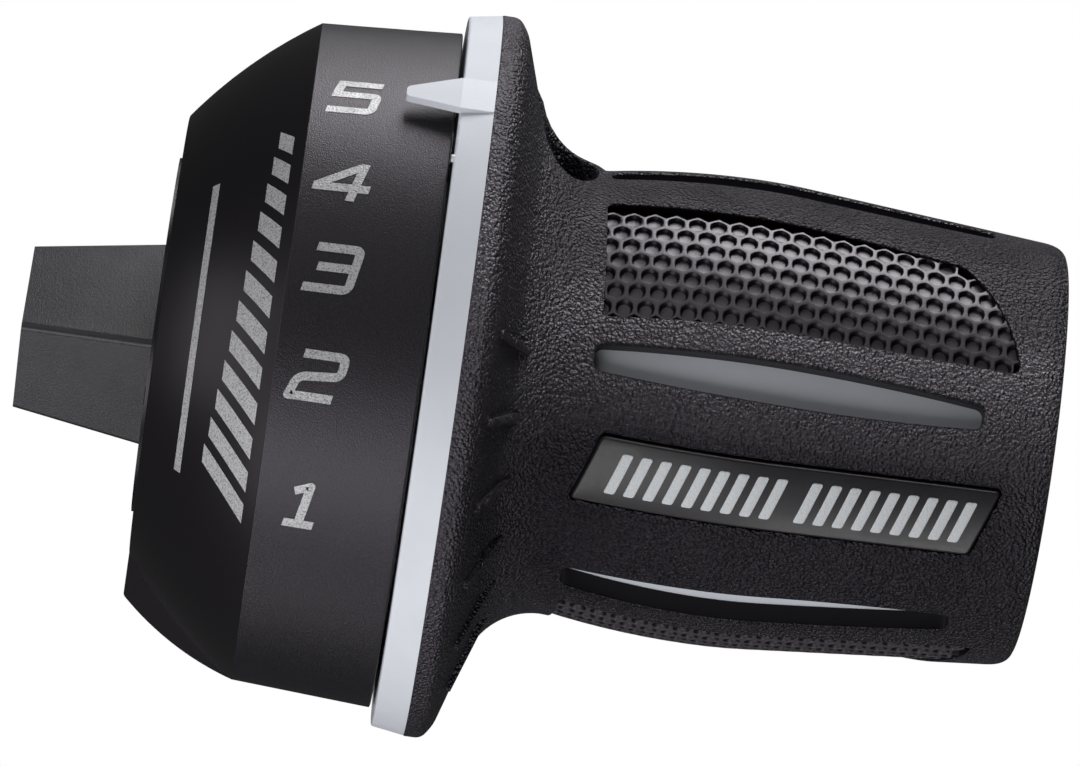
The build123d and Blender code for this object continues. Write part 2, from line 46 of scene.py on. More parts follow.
print("frame loaded:", len(nodes), "nodes")


# Small helpers for outlines

def onBar(along, radius, angle):
    turn = math.radians(angle)
    return (along * mm, -radius * math.cos(turn) * mm, radius * math.sin(turn) * mm)


def turnOf(sideways, radius):  # degrees round the bar to a point that lies sideways of a recess's middle
    return math.degrees(math.asin(sideways / radius))


def arcThrough(first, middle, last, count):
    (ax, ay), (bx, by), (cx, cy) = first, middle, last
    d = 2 * (ax * (by - cy) + bx * (cy - ay) + cx * (ay - by))
    a2, b2, c2 = ax * ax + ay * ay, bx * bx + by * by, cx * cx + cy * cy
    ox = (a2 * (by - cy) + b2 * (cy - ay) + c2 * (ay - by)) / d
    oy = (a2 * (cx - bx) + b2 * (ax - cx) + c2 * (bx - ax)) / d
    radius = math.hypot(ax - ox, ay - oy)
    start = math.atan2(ay - oy, ax - ox)
    sweep = (math.atan2(cy - oy, cx - ox) - start) % (2 * math.pi)
    through = (math.atan2(by - oy, bx - ox) - start) % (2 * math.pi)
    if through > sweep:
        sweep -= 2 * math.pi
    steps = [start + sweep * i / count for i in range(count + 1)]
    return [(ox + radius * math.cos(a), oy + radius * math.sin(a)) for a in steps]


def lengthsOf(points):
    gaps = [math.dist(a, b) for a, b in zip(points, points[1:])]
    return np.concatenate([[0.0], np.cumsum(gaps)])


def between(points, start, stop, spacing):  # even points on a stretch of a line
    run = lengthsOf(points)
    count = max(1, round((stop - start) / spacing))
    places = np.linspace(start, stop, count + 1)
    xs = np.interp(places, run, [p[0] for p in points])
    ys = np.interp(places, run, [p[1] for p in points])
    return list(zip(xs, ys))


def bend(first, corner, last, count):  # a soft corner between two sides
    points = []
    for i in range(1, count):
        t = i / count
        near, mid, far = (1 - t) ** 2, 2 * t * (1 - t), t * t
        points.append(tuple(near * a + mid * c + far * b for a, c, b in zip(first, corner, last)))
    return points


def softOutline(sides, reach, spacing=0.35, cornerSteps=6):  # reach[i] is the corner at the start of side i
    cut = []
    for i, side in enumerate(sides):
        total = lengthsOf(side)[-1]
        cut.append(between(side, reach[i], total - reach[(i + 1) % len(sides)], spacing))
    outline = []
    for i, side in enumerate(cut):
        following = cut[(i + 1) % len(cut)]
        outline += side
        if reach[(i + 1) % len(sides)]:
            outline += bend(side[-1], sides[i][-1], following[0], cornerSteps)
        else:
            outline.pop()
    return outline


def softLine(points, reach, spacing, cornerSteps=6):  # an open line with soft corners
    line = [points[0]]
    for before, corner, after, soft in zip(points, points[1:], points[2:], reach):
        first = Vector(corner) + (Vector(before) - Vector(corner)).normalized() * soft
        last = Vector(corner) + (Vector(after) - Vector(corner)).normalized() * soft
        line += [tuple(first)] + bend(first, corner, last, cornerSteps) + [tuple(last)]
    line.append(points[-1])
    fine = [line[0]]
    for a, b in zip(line, line[1:]):
        fine += between([a, b], 0, math.dist(a, b), spacing)[1:]
    return fine


def slantedSides(start, length, half, slant):  # four sides of a bar whose ends lean
    low = [(start, -half), (start + length, -half)]
    high = [(start + length + slant, half), (start + slant, half)]
    return [low, [low[1], high[0]], high, [high[1], low[0]]]


def grown(outline, amount):  # a convex outline pushed outwards
    points = np.array(outline)
    along = np.roll(points, -1, axis=0) - np.roll(points, 1, axis=0)
    along /= np.linalg.norm(along, axis=1)[:, None]
    sideways = np.stack([along[:, 1], -along[:, 0]], axis=1)
    onward = np.roll(points, -1, axis=0)
    area = np.sum(points[:, 0] * onward[:, 1] - onward[:, 0] * points[:, 1])
    return points + sideways * amount * (1 if area > 0 else -1)


def insideOutline(points, outline):
    x, y = points[:, 0], points[:, 1]
    found = np.zeros(len(points), bool)
    for (ax, ay), (bx, by) in zip(outline, np.roll(outline, -1, axis=0)):
        if ay != by:
            found ^= ((ay > y) != (by > y)) & (x < (bx - ax) * (y - ay) / (by - ay) + ax)
    return found


def clearOf(points, outline, gap):
    nearest = np.full(len(points), np.inf)
    for spot in outline:
        nearest = np.minimum(nearest, np.hypot(points[:, 0] - spot[0], points[:, 1] - spot[1]))
    return nearest > gap


def linked(name, mesh):
    piece = bpy.data.objects.new(name, mesh)
    scene.collection.objects.link(piece)
    return piece


def smoothed(mesh, angle):  # smooth shading with the steeper edges kept sharp
    mesh.shade_smooth()
    mesh.set_sharp_from_angle(angle=math.radians(angle))


def newObject(name, verts, faces, smoothAngle=38.0, polish=None):
    mesh = bpy.data.meshes.new(name)
    mesh.from_pydata(verts, [], faces)
    if polish:
        mesh.attributes.new("polish", "FLOAT", "POINT").data.foreach_set("value", polish)
    work = bmesh.new()
    work.from_mesh(mesh)
    bmesh.ops.remove_doubles(work, verts=work.verts, dist=weldGap)
    bmesh.ops.recalc_face_normals(work, faces=work.faces)
    work.to_mesh(mesh)
    work.free()
    smoothed(mesh, smoothAngle)
    if polish:  # the smooth faces wear the second material
        values = mesh.attributes["polish"].data
        for face in mesh.polygons:
            face.material_index = int(min(values[i].value for i in face.vertices) > 0.5)
        mesh.attributes.remove(mesh.attributes["polish"])
    return linked(name, mesh)


# The grip's own line: rim, flare, neck, barrel and end

gripLine = {
    "ringFace": 2.6, "rimEnd": 4.0, "rimRadius": 28.55, "rimBack": 1.2, "rimLap": 0.5, "rimPast": 0.6,
    "rimSlope": (0.8, 1.1), "neckAt": 12.0, "neckRadius": 17.6, "throatRound": 5.6, "throatSteps": 16,
    "crestAt": 24.0, "crestRadius": 18.58, "crestRound": 50.0, "swellSteps": 14, "crestSteps": 6,
    "endAt": 49.0, "endRadius": 16.6, "endRound": 1.0, "endBore": 14.0, "endSteps": 8,
    "wall": 1.75, "lip": 0.75, "lipGap": 0.2, "hollowSteps": 6,
    "ringRound": 0.15, "rimRound": 0.55, "flareRound": 0.6,
    "step": 0.9, "turnStep": 3.0, "seam": 144.0, "clear": 0.3,
}


def gripOutline(g):
    crest, end = (g["crestAt"], g["crestRadius"]), (g["endAt"], g["endRadius"])
    neck = (g["neckAt"], g["neckRadius"] + g["throatRound"])  # centre of the throat's round
    top = (g["rimEnd"] + g["rimSlope"][0], g["rimRadius"] - g["rimSlope"][1])
    across, down = neck[0] - top[0], top[1] - neck[1]
    far = math.hypot(across, down)
    steep = math.atan2(down, across) + math.asin(g["throatRound"] / far)
    run = math.sqrt(far ** 2 - g["throatRound"] ** 2)
    foot = (top[0] + run * math.cos(steep), top[1] - run * math.sin(steep))
    swell, rise = crest[0] - g["neckAt"], crest[1] - g["neckRadius"]
    reach = (swell ** 2 + rise ** 2) / (2 * rise)
    share = g["throatRound"] / reach
    start = (neck[0] + share * swell, neck[1] - share * (reach - rise))
    swellRound = reach - g["throatRound"]
    length, depth = end[0] - crest[0], g["crestRound"] - (crest[1] - end[1])
    turn = math.atan2(length, depth) - math.acos(g["crestRound"] / math.hypot(length, depth))

    def onSwell(x):
        return (x, crest[1] - swellRound + math.sqrt(swellRound ** 2 - (x - crest[0]) ** 2))

    def onCrest(angle):
        across, down = math.sin(angle), 1 - math.cos(angle)
        return (crest[0] + g["crestRound"] * across, crest[1] - g["crestRound"] * down)

    taper = onCrest(turn)
    barrel = arcThrough(start, onSwell((start[0] + crest[0]) / 2), crest, g["swellSteps"])
    barrel += arcThrough(crest, onCrest(turn / 2), taper, g["crestSteps"])[1:]
    barrel += between([taper, end], 0, math.dist(taper, end), g["step"])[1:]
    throat = arcThrough(foot, (neck[0], g["neckRadius"]), start, g["throatSteps"])
    return top, throat, barrel


flareTop, throatLine, barrelLine = gripOutline(gripLine)


def gripLoop(g):  # the cover's whole section as one closed line, outside first
    face, back, radius = g["ringFace"], g["rimEnd"], g["rimRadius"]
    rim = softLine([(face, radius - g["rimBack"]), (face, radius), (back, radius)],
                   [g["ringRound"]], g["step"])
    slope = softLine([(face + g["rimLap"], radius), (back, radius), flareTop, throatLine[0]],
                     [g["rimRound"], g["flareRound"]], g["step"])
    outside = rim[:-1] + slope[1:] + throatLine[1:] + barrelLine[1:]
    outside = [p for p in outside if p[0] < g["endAt"] - g["endRound"]]
    endFoot = (g["endAt"], g["endRadius"] - g["endRound"])
    outside += bend(outside[-1], (g["endAt"], g["endRadius"]), endFoot, g["endSteps"])
    lipAt = g["endAt"] - g["lip"]
    inside = [(x, r - g["wall"]) for x, r in barrelLine if x < lipAt - g["lipGap"]]
    first = inside[0]
    inside = [(x, first[1]) for x in np.linspace(face, first[0], g["hollowSteps"])[:-1]] + inside
    close = [endFoot, (g["endAt"], g["endBore"]), (lipAt, g["endBore"]), (lipAt, inside[-1][1])]
    return outside, close, inside[::-1]


outsideLine, endLine, insideLine = gripLoop(gripLine)
sectionLine = np.array(outsideLine + endLine + insideLine + outsideLine[:1])  # back to its first point
sectionRun = lengthsOf(sectionLine)
outX, outR = np.array(outsideLine).T
inX, inR = np.array(insideLine)[::-1].T
inStart = len(outsideLine) + len(endLine)
inRun = sectionRun[inStart:inStart + len(inX)][::-1]
rimCount = int(np.argmax(outX > gripLine["ringFace"] + gripLine["rimPast"]))  # the first point past the lap


def skinRadius(along):
    return np.interp(along, outX[rimCount:], outR[rimCount:])


def skinRun(along):
    return np.interp(along, outX[rimCount:], sectionRun[rimCount:len(outX)])


# Outlines that are let into the grip

slots = {"start": 12.8, "length": 30.3, "middle": 0.47, "mouth": 0.26, "foot": 0.1,
         "corners": [0.7, 0.8, 0.8, 0.7], "arcSteps": 60,
         # angle round the bar, tilt, half widths at the start, the middle and the end
         "places": [(8.8, -1.0, (0.95, 1.6, 0.85)), (-53.9, 0.0, (1.2, 1.7, 1.0)),
                    (77.4, 0.0, (1.2, 1.7, 1.05)), (-123.5, 0.0, (1.2, 1.7, 1.05)),
                    (157.5, 0.0, (1.2, 1.7, 1.05))]}
windows = {"places": [(37.5, 1), (-82.5, -1), (117.5, 1), (-162.5, -1)],  # angle, side of the bowed edge
           "start": 13.1, "length": 32.5, "lean": 0.6, "high": (6.0, 5.8, 4.6), "bow": 12.9,
           "low": (5.2, 4.75), "short": 5.1, "curve": (2.3, 1.2), "corner": 0.6, "endCorner": 1.6,
           "arcSteps": 40, "depth": 0.9, "mouth": 0.16}
badge = {"angle": -18.8, "start": 12.5, "length": 31.0, "half": 2.72, "slant": 1.7, "tilt": -0.8,
         "corner": 0.45, "gap": 0.15, "seat": 0.9, "seatGap": 0.02, "proud": 0.25, "edge": 0.22,
         "mouth": 0.25}
port = {"angle": 77.0, "start": 6.9, "length": 4.8, "width": 7.0, "floor": 16.5, "steps": 72,
        "lip": 0.45, "lipWidth": 0.95, "foot": 0.1,
        # the lip's section, as shares of its width and its height
        "lipShape": [(1.0, 0.0), (0.7, 0.55), (0.45, 1.0), (0.2, 1.0), (0.05, 0.7), (0.0, 0.0)]}


def slotOutline(s, tilt, halves):
    middle = s["start"] + s["middle"] * s["length"]
    slope = math.tan(math.radians(tilt))
    along = (s["start"], middle, s["start"] + s["length"])
    high = [(x, slope * (x - middle) + half) for x, half in zip(along, halves)]
    low = [(x, slope * (x - middle) - half) for x, half in zip(along, halves)]
    sides = [arcThrough(*high[::-1], s["arcSteps"]), [high[0], low[0]],
             arcThrough(*low, s["arcSteps"]), [low[2], high[2]]]
    return softOutline(sides, s["corners"])


def windowOutline(w, side):
    stop = w["start"] + w["length"]
    back, rise = w["curve"]
    highStart = (w["start"] - w["lean"], side * w["high"][0])
    highMiddle = (w["start"] + w["bow"], side * w["high"][1])
    highEnd = (stop - w["short"], side * w["high"][2])
    lowStart = (w["start"], -side * w["low"][0])
    lowEnd = (stop, -side * w["low"][1])
    sides = [[highStart, lowStart], [lowStart, lowEnd],
             arcThrough(lowEnd, (stop - back, side * rise), highEnd, w["arcSteps"]),
             arcThrough(highEnd, highMiddle, highStart, w["arcSteps"])]
    c = w["corner"]
    return softOutline(sides, [c, c, w["endCorner"] * c, c])


def onBadge(outline):  # turns an outline with the badge, about its middle
    middle = badge["start"] + badge["length"] / 2
    c, s = math.cos(math.radians(badge["tilt"])), math.sin(math.radians(badge["tilt"]))
    return [(middle + c * (x - middle) - s * y, s * (x - middle) + c * y) for x, y in outline]


def badgeOutline(b):
    sides = slantedSides(b["start"], b["length"], b["half"], b["slant"])
    return onBadge(softOutline(sides, [b["corner"]] * 4))


def portOutline(p):
    long, wide = p["length"] / 2, p["width"] / 2
    turns = [2 * math.pi * i / p["steps"] for i in range(p["steps"])]
    return [(p["start"] + long + long * math.cos(t), wide * math.sin(t)) for t in turns]


def mouthSteps(size, depth, steps=4):  # (outwards, down) from the skin round the edge to the foot of the wall
    turns = [math.pi / 2 * i / steps for i in range(steps, -1, -1)]
    return [(size * (1 - math.cos(t)), size * (1 - math.sin(t))) for t in turns] + [(0.0, depth)]


class GripSkin:
    def __init__(self, g):
        self.g = g
        self.verts = []
        self.faces = []
        self.holes = []
        self.polish = []  # 1 where the wall of a recess is smooth, 0 on the grained skin
        self.flatScale = math.radians(g["neckRadius"])  # flat width of one degree

    def add(self, along, radius, angle, polish=0.0):
        self.verts.append(onBar(along, radius, angle))
        self.polish.append(polish)
        return len(self.verts) - 1

    def ring(self, outline, angle, radii, polish=0.0):
        return [self.add(x, r, angle + turnOf(w, r), polish) for (x, w), r in zip(outline, radii)]

    def strip(self, upper, lower):
        n = len(upper)
        self.faces += [(upper[i], upper[(i + 1) % n], lower[(i + 1) % n], lower[i]) for i in range(n)]

    def flat(self, run, angle):
        return (run, ((angle - self.g["seam"]) % 360) * self.flatScale)

    def hole(self, ring, outline, angle, runs, radii):  # a ring on the skin that the sheet is joined to
        spots = [self.flat(u, angle + turnOf(w, r)) for u, (_, w), r in zip(runs, outline, radii)]
        self.holes.append((ring, np.array(spots)))

    def filled(self, loops, grid, kind, place):  # triangles between loops of known points and loose ones
        flat, edges, known = [], [], []
        for ring, spots in loops:
            base, n = len(flat), len(spots)
            flat += [Vector(p) for p in spots]
            edges += [(base + i, base + (i + 1) % n) for i in range(n)]
            known += ring
        found = geometry.delaunay_2d_cdt(flat + [Vector(p) for p in grid], edges, [], kind, flatGap)
        names = {}
        for i, sources in enumerate(found[3]):
            for source in sources:
                if source < len(known):
                    names[i] = known[source]
        for i, spot in enumerate(found[0]):
            if i not in names:
                names[i] = place(spot)
        return found[0], found[2], names

    def floor(self, ring, outline, angle, radiusAt, spacing=1.1):
        points = np.array(outline)
        low, high = points.min(axis=0), points.max(axis=0)
        xs = np.arange(low[0] + spacing / 2, high[0], spacing)
        ys = np.arange(low[1] + spacing / 2, high[1], spacing)
        grid = np.array([(x, y) for x in xs for y in ys])
        grid = grid[insideOutline(grid, points) & clearOf(grid, points, spacing * 0.4)]

        def place(spot):
            r = float(radiusAt(spot.x))
            return self.add(spot.x, r, angle + turnOf(spot.y, r), 1.0)

        _, triangles, names = self.filled([(ring, points)], grid, 1, place)
        self.faces += [tuple(names[i] for i in f) for f in triangles]

    def sheet(self):  # the whole skin, outside and inside, with the holes left open
        g = self.g
        turns = np.arange(0, 360 + g["turnStep"] / 2, g["turnStep"])
        grid = np.array([(u, t * self.flatScale) for u in sectionRun for t in turns])
        keep = np.ones(len(grid), bool)
        for _, ring in self.holes:
            low, high = ring.min(axis=0) - 1, ring.max(axis=0) + 1
            close = np.all((grid > low) & (grid < high), axis=1)
            keep[close] &= ~insideOutline(grid[close], ring) & clearOf(grid[close], ring, g["clear"])

        def place(spot):
            x, r = (np.interp(spot.x, sectionRun, sectionLine[:, i]) for i in (0, 1))
            return self.add(x, r, g["seam"] + spot.y / self.flatScale)

        spots, triangles, names = self.filled(self.holes, grid[keep], 0, place)
        middles = np.array([sum((spots[i] for i in f), Vector((0, 0))) / len(f) for f in triangles])
        inHole = np.zeros(len(middles), bool)
        for _, ring in self.holes:
            inHole |= insideOutline(middles, ring)
        self.faces += [tuple(names[i] for i in f) for f, gone in zip(triangles, inHole) if not gone]


def raised(along, side, span=0.05):
    # an edge that stands up only on the far side, as high square to the skin all along
    steep = float(skinRadius(along + span) - skinRadius(along - span)) / (2 * span)
    return math.hypot(1, steep) * min(1.0, max(0.0, side)) ** 0.5


def letIn(skin, outline, angle, steps, floorRadius=None, floorDepth=None, farSide=None, smoothFrom=0.1):
    # edge, wall and floor of one recess; farSide is its half width where a raised edge stands on one side only
    rings = []
    for out, down in steps:
        places = [tuple(p) for p in grown(outline, out)]
        radii = [float(skinRadius(x)) - down for x, _ in places]
        if farSide and down < 0:
            radii = [r + down - down * raised(x, w / farSide) for r, (x, w) in zip(radii, places)]
        if (out, down) == steps[0]:
            ring = skin.ring(places, angle, radii)
            skin.hole(ring, places, angle, [float(skinRun(x)) for x, _ in places], radii)
        else:
            if floorRadius is not None and (out, down) == steps[-1]:
                radii = [floorRadius] * len(places)
            ring = skin.ring(places, angle, radii, float(down > smoothFrom))
        if rings:
            skin.strip(rings[-1], ring)
        rings.append(ring)
    if floorRadius is not None:
        skin.floor(rings[-1], outline, angle, lambda x: floorRadius)
    elif floorDepth is not None:
        skin.floor(rings[-1], outline, angle, lambda x: skinRadius(x) - floorDepth)
    return rings[-1]


def gripRubber():
    skin = GripSkin(gripLine)
    for angle, tilt, halves in slots["places"]:
        outline = slotOutline(slots, tilt, halves)
        foot = letIn(skin, outline, angle, mouthSteps(slots["mouth"], slots["mouth"] + slots["foot"]))
        radii = [float(np.interp(x, inX, inR)) for x, _ in outline]
        # the walls lean in to the axis
        inner = [(x, w * r / float(skinRadius(x))) for (x, w), r in zip(outline, radii)]
        through = skin.ring(inner, angle, radii, 1.0)
        skin.strip(foot, through)
        skin.hole(through, inner, angle, [float(np.interp(x, inX, inRun)) for x, _ in inner], radii)
    for angle, side in windows["places"]:
        letIn(skin, windowOutline(windows, side), angle, mouthSteps(windows["mouth"], windows["depth"]),
              floorDepth=windows["depth"])
    seat = grown(badgeOutline(badge), badge["gap"])
    letIn(skin, seat, badge["angle"], mouthSteps(badge["mouth"], badge["seat"]), floorDepth=badge["seat"])
    lipSteps = [(out * port["lipWidth"], -up * port["lip"]) for out, up in port["lipShape"]]
    letIn(skin, portOutline(port), port["angle"], lipSteps + [(0.0, port["foot"])], floorRadius=port["floor"],
          farSide=port["width"] / 2)
    skin.sheet()
    return newObject("grip_rubber", skin.verts, skin.faces, polish=skin.polish)


gripPiece = gripRubber()
print("grip rubber:", len(gripPiece.data.polygons), "faces")


# Helpers for node trees

def socketId(tree, name):
    return next(s.identifier for s in tree.interface.items_tree if s.name == name and s.in_out == "INPUT")


def newTree(name, inputs):
    tree = bpy.data.node_groups.new(name, "GeometryNodeTree")
    for label, kind in inputs:
        tree.interface.new_socket(name=label, in_out="INPUT", socket_type="NodeSocket" + kind)
    tree.interface.new_socket(name="Geometry", in_out="OUTPUT", socket_type="NodeSocketGeometry")
    return tree


def treeMesh(name, tree, values):  # runs a node tree once and keeps its result as a plain mesh
    holder = linked(name, bpy.data.meshes.new(name))
    modifier = holder.modifiers.new("nodes", "NODES")
    modifier.node_group = tree
    for label, value in values.items():
        modifier[socketId(tree, label)] = value
    bpy.context.view_layer.update()
    evaluated = holder.evaluated_get(bpy.context.evaluated_depsgraph_get())
    made = bpy.data.meshes.new_from_object(evaluated)
    holder.modifiers.remove(modifier)
    holder.data = made
    return holder


def maths(tree, kind, *values):  # a math node fed with numbers or sockets
    node = tree.nodes.new("ShaderNodeMath")
    node.operation = kind
    for socket, value in zip(node.inputs, values):
        if isinstance(value, (int, float)):
            socket.default_value = value
        else:
            tree.links.new(value, socket)
    return node.outputs[0]


def spread(tree, source, low, high, toLow, toHigh):  # maps one range of values to another
    node = tree.nodes.new("ShaderNodeMapRange")
    tree.links.new(source, node.inputs["Value"])
    for label, value in (("From Min", low), ("From Max", high), ("To Min", toLow), ("To Max", toHigh)):
        node.inputs[label].default_value = value
    return node.outputs["Result"]


def copiesOn(tree, given, label, points, rotation=None):  # the given shape on every point, real and painted
    put, join = tree.nodes.new, tree.links.new
    shape = put("GeometryNodeObjectInfo")
    place = put("GeometryNodeInstanceOnPoints")
    real = put("GeometryNodeRealizeInstances")
    paint = put("GeometryNodeSetMaterial")
    result = put("NodeGroupOutput")
    join(given.outputs[label], shape.inputs["Object"])
    join(points, place.inputs["Points"])
    join(shape.outputs["Geometry"], place.inputs["Instance"])
    if rotation:
        join(rotation, place.inputs["Rotation"])
    join(place.outputs[0], real.inputs[0])
    join(real.outputs[0], paint.inputs["Geometry"])
    join(given.outputs["Material"], paint.inputs["Material"])
    join(paint.outputs[0], result.inputs[0])


# Ribs in the flare's hollow, set round the bar by a node tree

ribs = {"count": 6, "pitch": 15.0, "first": 8.0, "width": 0.6, "start": 5.2, "length": 2.6, "height": 0.4,
        "bury": 0.4, "flat": 0.35, "soft": 0.16}  # flat is a share of the width, soft the drop at its edges


def ribShape():
    start, stop = ribs["start"], ribs["start"] + ribs["length"]
    slope = (skinRadius(stop) - skinRadius(start)) / ribs["length"]
    square = math.hypot(1, slope)
    top = (start - slope / square * ribs["height"], skinRadius(start) + ribs["height"] / square)
    foot = (start + slope / square * ribs["bury"], skinRadius(start) - ribs["bury"] / square)
    low = (stop + ribs["bury"], skinRadius(stop) + slope * ribs["bury"])
    inner = (foot[0], low[1])
    half = ribs["width"] / 2
    edge = ribs["flat"] * half
    verts, faces = [], []
    sections = [(-half, ribs["soft"]), (-edge, 0.0), (edge, 0.0), (half, ribs["soft"])]
    for side, drop in sections:
        for x, r in (top, low, inner, foot):
            verts.append((x * mm, side * mm, (r - drop) * mm))
    for a in range(0, len(verts) - 4, 4):
        faces += [(a + j, a + (j + 1) % 4, a + 4 + (j + 1) % 4, a + 4 + j) for j in range(4)]
    faces += [(3, 2, 1, 0), tuple(range(len(verts) - 4, len(verts)))]
    return newObject("rib_shape", verts, faces)


def ribTree():
    tree = newTree("ribRing", [("Rib", "Object"), ("Count", "Int"), ("Pitch", "Float"), ("First", "Float"),
                               ("Material", "Material")])
    given = tree.nodes.new("NodeGroupInput")
    points = tree.nodes.new("GeometryNodePoints")
    tree.links.new(given.outputs["Count"], points.inputs["Count"])
    index = tree.nodes.new("GeometryNodeInputIndex").outputs["Index"]
    spin = tree.nodes.new("ShaderNodeCombineXYZ")
    turn = maths(tree, "MULTIPLY_ADD", index, given.outputs["Pitch"], given.outputs["First"])
    tree.links.new(turn, spin.inputs["X"])
    copiesOn(tree, given, "Rib", points.outputs[0], spin.outputs[0])
    return tree


# Materials

def newMaterial(name, plain):  # plain holds the sockets that are the same all over
    material = bpy.data.materials.new(name)
    material.use_nodes = True
    tree = material.node_tree
    skin = tree.nodes["Principled BSDF"]
    for label, value in plain.items():
        skin.inputs[label].default_value = value
    return material, tree, skin


def surface(tree, skin, colour, roughness, normal):  # links what changes over the surface
    for label, source in (("Base Color", colour), ("Roughness", roughness), ("Normal", normal)):
        tree.links.new(source, skin.inputs[label])


def grainGroup():  # moulded grain: a height, a speckle mask and a slow blotch, from a point in metres
    group = bpy.data.node_groups.new("mouldedGrain", "ShaderNodeTree")
    group.interface.new_socket(name="Vector", in_out="INPUT", socket_type="NodeSocketVector")
    for label, value in [("Grain Size", 0.3), ("Speckle Size", 0.15), ("Blotch Size", 6.0)]:
        socket = group.interface.new_socket(name=label, in_out="INPUT", socket_type="NodeSocketFloat")
        socket.default_value = value
    for label in ("Height", "Speckle", "Blotch"):
        group.interface.new_socket(name=label, in_out="OUTPUT", socket_type="NodeSocketFloat")
    put, join = group.nodes.new, group.links.new
    given = put("NodeGroupInput")
    result = put("NodeGroupOutput")

    def pattern(kind, label, output, detail=None):  # a texture whose size is given in millimetres
        node = put(kind)
        join(given.outputs["Vector"], node.inputs["Vector"])
        join(maths(group, "DIVIDE", 1.0 / mm, given.outputs[label]), node.inputs["Scale"])
        if detail:
            node.inputs["Detail"].default_value = detail
        return node.outputs[output]

    cells = pattern("ShaderNodeTexVoronoi", "Grain Size", "Distance")
    fine = pattern("ShaderNodeTexNoise", "Speckle Size", 0, 3.0)
    slow = pattern("ShaderNodeTexNoise", "Blotch Size", 0, 2.0)
    join(maths(group, "SUBTRACT", fine, cells), result.inputs["Height"])
    join(fine, result.inputs["Speckle"])
    join(slow, result.inputs["Blotch"])
    return group


grain = grainGroup()


def objectPoint(tree):
    return tree.nodes.new("ShaderNodeTexCoord").outputs["Object"]


def alongBar(tree, point):
    node = tree.nodes.new("ShaderNodeSeparateXYZ")
    tree.links.new(point, node.inputs[0])
    return node.outputs["X"]


def addGrain(tree, sizes, point=None):  # sizes of the grain, the speckle and the blotch
    node = tree.nodes.new("ShaderNodeGroup")
    node.node_tree = grain
    tree.links.new(point or objectPoint(tree), node.inputs["Vector"])
    for label, value in zip(("Grain Size", "Speckle Size", "Blotch Size"), sizes):
        node.inputs[label].default_value = value
    return node.outputs


def ramp(tree, source, stops):
    node = tree.nodes.new("ShaderNodeValToRGB")
    marks, stops = node.color_ramp.elements, list(stops)
    while len(marks) < len(stops):
        marks.new(0.5)
    for mark, (place, colour) in zip(marks, stops):
        mark.position = place
        mark.color = (*colour, 1.0)
    tree.links.new(source, node.inputs["Fac"])
    return node.outputs["Color"]


def meshValue(tree, name):
    node = tree.nodes.new("ShaderNodeAttribute")
    node.attribute_name = name
    return node.outputs["Fac"]


def bumpFrom(tree, height, distance):
    node = tree.nodes.new("ShaderNodeBump")
    node.inputs["Strength"].default_value = 1.0
    node.inputs["Distance"].default_value = distance * mm
    tree.links.new(height, node.inputs["Height"])
    return node.outputs["Normal"]


noiseRange = (0.3, 0.7)  # where most values of a noise texture lie
shineTint = (0.96, 0.90, 1.0, 1.0)  # the black plastics shine a little violet
# dark and light are painted light: painted shade in the grain's hollows and a painted highlight on the grain's
# tops
rubberLook = {"dark": (0.0040, 0.0034, 0.0052), "light": (0.037, 0.030, 0.048), "grain": (0.29, 0.16, 5.0),
              "heights": (-0.3, 0.5), "stops": (0.35, 0.85), "bump": 0.42, "roughness": (0.29, 0.39),
              "specular": 0.85, "flare": (3.0, 11.0, 0.4)}


def gripRubberMaterial():
    look = rubberLook
    material, tree, skin = newMaterial("grip rubber", {
        "Specular IOR Level": look["specular"], "Specular Tint": shineTint})
    point = objectPoint(tree)
    texture = addGrain(tree, look["grain"], point)
    glintAndShade = spread(tree, texture["Height"], *look["heights"], 0.0, 1.0)
    near, far, shallow = look["flare"]  # the grain is shallower on the flare than on the barrel
    depth = spread(tree, alongBar(tree, point), near * mm, far * mm, shallow, 1.0)
    # the colour runs from painted shade in the hollows to a painted highlight on the tops of the grain
    surface(tree, skin,
            ramp(tree, glintAndShade, zip(look["stops"], (look["dark"], look["light"]))),
            spread(tree, texture["Blotch"], *noiseRange, *look["roughness"]),
            bumpFrom(tree, maths(tree, "MULTIPLY", texture["Height"], depth), look["bump"]))
    return material


# wall, land and floor colours carry painted light: painted shade on the pit walls, and painted highlights and
# reflections on the lands and pit floors
combLook = {"wall": (0.006, 0.0055, 0.007), "land": (0.060, 0.054, 0.063), "floor": (0.095, 0.086, 0.097),
            "roughness": (0.40, 0.30), "specular": 0.4, "grain": (0.2, 0.12, 4.0), "bump": 0.012}


def honeycombMaterial():
    look = combLook
    material, tree, skin = newMaterial("honeycomb rubber", {
        "Specular IOR Level": look["specular"], "Specular Tint": shineTint})
    texture = addGrain(tree, look["grain"])
    # the pit mark paints shade on the walls and a lighter, painted reflection on the lands and floors
    deep = meshValue(tree, "pit")
    surface(tree, skin,
            ramp(tree, deep, [(0.0, look["wall"]), (0.5, look["land"]), (1.0, look["floor"])]),
            spread(tree, deep, 0.0, 1.0, *look["roughness"]),
            bumpFrom(tree, texture["Speckle"], look["bump"]))
    return material


# The housing's drum and cone, as in the solids
drum = {"start": -11.3, "end": -0.3, "radius": 26.0, "mouth": 26.7, "coneStart": -20.6, "coneRadius": 17.35,
        "coneBulge": 0.75, "coneSteps": 40}
housingLook = {"drum": (0.0042, 0.0038, 0.0052), "fleck": (0.016, 0.0145, 0.0185),
               "cone": (0.0058, 0.0050, 0.0058), "stops": (0.42, 0.74), "blend": 0.05,
               "roughness": (0.33, 0.38), "bump": (0.006, 0.035),  # of the cone, then of the drum
               "specular": 0.5, "grain": (0.16, 0.11, 3.0)}


